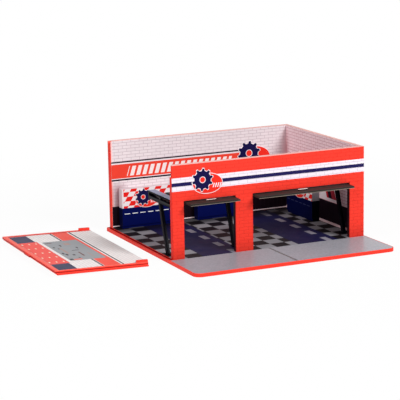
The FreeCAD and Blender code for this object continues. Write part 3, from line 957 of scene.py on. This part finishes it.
def makeDoors():
    # painted reflection: the track rails' tops are painted pale blue-grey
    railGlint = spanPaint("Z", railTop - doorLook["railFace"], railTop + mm, doorLook["railGlintInk"])
    # painted highlight: the handles' top face is painted pale pink-white
    face = spanPaint("Z", handleTop - doorLook["handleFace"], handleTop + mm, doorLook["handleGlintInk"])
    trackPlastic = mouldedPlastic("navyTrackPlastic", ink(4, 4, 12), 0.36, dull, mottle=0.12, paintOver=railGlint)
    # the door's lip carries a painted highlight
    doorPlastic = mouldedPlastic("charcoalDoorPlastic", ink(43, 40, 38), 0.5, satin, mottle=0.12, grain=0.8,
                                 paintOver=doorLipGlintPaint)
    # the handles' sides are painted near black as painted shade, darker than the door
    handleGlintPlastic = mouldedPlastic("handleGlintAndShadePlastic", ink(8, 5, 6), 0.36, satin, mottle=0.04,
                                   paintOver=face)
    rollerPlastic = mouldedPlastic("greyRollerPlastic", ink(24, 24, 30), 0.5, satin)
    rodSteel = brushedRod()
    for side in ("left", "middle", "right"):
        mesh = bevelled(cleanCopy(side + "_track"), side + "Track", doorLook["trackBevel"])
        addPiece(mesh.name, mesh, trackPlastic, "garage", [side + "_track"])
    parts = (("panel", doorPlastic, "door_plastic"), ("handle", handleGlintPlastic, "handle_plastic"))
    for size in ("small", "large"):
        door = size + "_door"
        for part, finish, slot in parts:
            node = door + "_" + part
            mesh = bevelled(cleanCopy(node), size + "Door" + part.title(), doorLook[part + "Bevel"])
            addPiece(mesh.name, mesh, finish, door, [node])
        dress(nodes[door + "_rod"].data, rodSteel)
        dress(nodes[door + "_rollers"].data, rollerPlastic)


makeDoors()
print("doors and tracks ready")


# workbenches

bench = {
    "pulls": {"Count": 6, **inMetres(First=1.8, Pitch=7.0, Length=4.7, Thickness=0.5, Height=12.4)},
    "frontEdge": 0.04 * mm,
    # painted shade: the right bench's navy is painted deeper, and the ends darker than the fronts, the right
    # ones near black
    "navy": {"left": ink(4, 12, 74), "middle": ink(4, 12, 74), "right": ink(3, 8, 54)},
    "ends": {"left": ink(6, 9, 42), "middle": ink(6, 9, 50), "right": ink(4, 4, 14)},
    # painted light and shade: each board's edge is painted lighter or darker by how the light falls on it
    "boardEdgeLightAndShade": {"left": ink(212, 196, 201), "middle": ink(236, 224, 228), "right": ink(150, 142, 148)},
}
boardPrint = {
    **inMetres(cell=5.55, row=3.9, firstRow=1.75, margin=1.2, signWidth=20.5, signPlace=(22.1, 5.6, 0)),
    "lean": 0.58, "signScale": 0.75, "white": ink(234, 224, 226), "red": ink(226, 34, 30),
}


def drawBoard(net, along, up):
    # leaning checks beside a plain margin; the 20 keeps the count above 0
    height = net.minus(up, boardPrint["firstRow"])
    leaning = net.minus(along, net.times(height, boardPrint["lean"]))
    column = net.math("FLOOR", net.over(leaning, boardPrint["cell"]))
    row = net.math("FLOOR", net.over(height, boardPrint["row"]))
    odd = net.above(net.repeated(net.plus(net.plus(column, row), 20.0), 2.0), 0.25)
    checked = net.times(odd, net.above(along, boardPrint["margin"]))
    return net.paint(checked, boardPrint["white"], boardPrint["red"])


def benchCorner(node, facesLeft):
    # the left end of its front, at the floor
    low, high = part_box(node)
    return (low.x, high.y if facesLeft else low.y, low.z)


def pullRowTree():
    net, given = newTree("pullRow", ["First", "Pitch", "Length", "Thickness", "Height"], ["Count"])
    bar = net.add("GeometryNodeMeshCube", {"Size": (1, 1, 1)})
    index = net.add("GeometryNodeInputIndex").outputs[0]
    line = net.add("GeometryNodeMeshLine", {"Count": given["Count"], "Offset": (0, 0, 0)}, mode="OFFSET")
    middle = net.plus(net.plus(given["First"], net.times(index, given["Pitch"])),
                      net.times(given["Length"], 0.5))
    spot = net.vector(middle, given["Height"], net.times(given["Thickness"], 0.5))
    placed = net.add("GeometryNodeSetPosition", {"Geometry": line.outputs[0], "Position": spot})
    size = net.vector(given["Length"], given["Thickness"], given["Thickness"])
    laid = net.add("GeometryNodeInstanceOnPoints", {"Points": placed.outputs[0], "Instance": bar.outputs[0],
                                                    "Scale": size})
    return endTree(net, laid.outputs[0], given["Finish"])


def makeBenches():
    tree = pullRowTree()
    silver = mouldedPlastic("silverPullPlastic", ink(244, 244, 250), 0.3, 0.5, mottle=0.04)
    # a dark copy of the pulls, as painted shade
    paintedShade = mouldedPlastic("shadedPullPlastic", ink(52, 56, 92), 0.4, dull, mottle=0.1)
    for side in ("left", "middle", "right"):
        cabinet, board, pulls = [side + "_bench_" + part for part in ("cabinet", "board", "pulls")]
        facesLeft = side == "right"
        turn = facingLeft if facesLeft else facingFront
        low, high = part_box(cabinet)
        axis = 1 if facesLeft else 0
        edge = bench["frontEdge"]
        front = spanPaint("XY"[axis], low[axis] + edge, high[axis] - edge, bench["navy"][side])
        body = mouldedPlastic(side + "CabinetPlastic", bench["ends"][side], 0.5, dull, mottle=0.12,
                              paintOver=front)
        dress(nodes[cabinet].data, body)
        corner = benchCorner(board, facesLeft)
        dressWithPrint(board, side + "BoardCard", corner, turn, drawBoard, edge=bench["boardEdgeLightAndShade"][side])
        makeSign(side + "BoardSign", boardPrint["signWidth"],
                 standing(corner, turn) @ Matrix.Translation(boardPrint["signPlace"]),
                 scale=boardPrint["signScale"])
        # painted shade: the middle and right benches' pulls are painted dark
        finish = silver if side == "left" else paintedShade
        row = runTree(tree, side + "BenchPulls", dict(bench["pulls"], Finish=finish),
                      standing(benchCorner(cabinet, facesLeft), turn))
        addPiece(side + "BenchPulls", row, finish, "garage", [pulls])


makeBenches()
print("workbenches ready")


# loose side wall

sidePrint = {    # the dashes' places from the wall's foot and near end, and their shares of each pitch
    **inMetres(dashAlong=(22, 99.5), dashUp=(3.2, 17.8), dashNear=27.3, dashColumn=16.1, dashRow=5.7),
    "dashLong": 0.18, "dashHigh": 0.21, "dashInk": ink(250, 226, 204),
    "brick": ink(244, 237, 235), "joint": ink(208, 200, 203),
}
sideBlocks = [    # ink, then places from the near end, heights up, lengths and heights, in mm
    (ink(246, 90, 76), [(-9, 38.8, 150, 13.1)]),    # band
    (ink(20, 14, 32), [(-9, 36.9, 150, 1.3), (-9, 53.3, 150, 1.2)]),    # its lines
    (ink(62, 61, 86), [(2, 1.2, 20, 15.6), (99.5, 1.2, 23.9, 15.6)]),    # cabinets
    (ink(243, 92, 84), [(22, -9, 77.5, 26.8)]),    # chest
    (ink(154, 156, 160), [(28, 20.7, 68, 29.1)]),    # peg board, and the tools hung on it
    (ink(66, 56, 60), [(77, 30, 5.2, 1.3), (73.3, 23, 3.2, 1.5), (68.4, 25.2, 2.4, 1.8), (50.5, 22.7, 5, 1.6),
                       (46, 24.2, 5, 1.8), (44.2, 29, 3.6, 1.9), (35, 30, 2.2, 1.6), (60, 33.5, 1.4, 6),
                       (66, 40, 5, 1.2)]),
    (ink(20, 18, 24), [(30.8, 21.6, 3.4, 2.8)]),
    (ink(112, 76, 74), [(90, 21.6, 1.8, 5.6), (40.5, 35.8, 13.5, 1.4)]),
    (ink(238, 112, 92), [(29.6, 24.6, 2.8, 6.6)]),
    (ink(172, 146, 140), [(51.5, 26.6, 20, 1.9), (80, 35, 7, 5), (34, 42, 16, 1.0)]),
    # red like the rim, and a little deeper as the rim's painted shade
    (ink(214, 60, 52), [(123.6, -9, 20, 120)]),    # far edge
]
looseEdge = {    # depths from the card's face
    **inMetres(bevel=0.2, face=(-0.12, 0.12), groove=(-1.5, -0.85)),
    # painted light: a paler rim face as a painted highlight, and a dark groove line as painted shade
    "rimHighlightInk": ink(250, 104, 90), "grooveShade": 0.85, "grooveInk": ink(100, 6, 12),
}


def drawSideWall(net, along, up):
    near = net.times(along, -1.0)    # along is counted from the near end, leftwards as the wall lies
    blocks = [(net.block(near, up, (place * mm, (place + length) * mm), (low * mm, (low + height) * mm)),
               blockInk)
              for blockInk, shapes in sideBlocks for place, low, length, height in shapes]
    column = net.repeated(net.minus(near, sidePrint["dashNear"]), sidePrint["dashColumn"])
    row = net.repeated(net.minus(up, sidePrint["dashUp"][0]), sidePrint["dashRow"])
    dash = net.times(net.block(near, up, sidePrint["dashAlong"], sidePrint["dashUp"]),
                     net.below(column, sidePrint["dashLong"]), net.below(row, sidePrint["dashHigh"]))
    return net.layers(printedBricks(net, near, up, sidePrint), [*blocks, (dash, sidePrint["dashInk"])])


def looseRimLightAndShade(net, base):
    # the rim's face is painted paler as a painted highlight, and a fine dark line, painted shade of a groove,
    # runs round the wall's edge a little below it
    proud = surfacePlane(net, *looseWall)[2]
    face = net.paint(net.within(proud, *looseEdge["face"]), base, looseEdge["rimHighlightInk"])
    groove = net.times(net.within(proud, *looseEdge["groove"]), looseEdge["grooveShade"])
    return net.paint(groove, face, looseEdge["grooveInk"])


def makeSideWall():
    mesh = bevelled(cleanCopy("side_wall"), "sideWall", looseEdge["bevel"])
    finish = mouldedPlastic("tomatoSideWallPlastic", tomato, 0.42, satin, paintOver=looseRimLightAndShade)
    addPiece("sideWall", mesh, finish, "side_wall", ["side_wall"])
    dressWithPrint("side_wall_card", "sideWallCard", *looseWall, drawSideWall)


makeSideWall()
print("side wall ready")
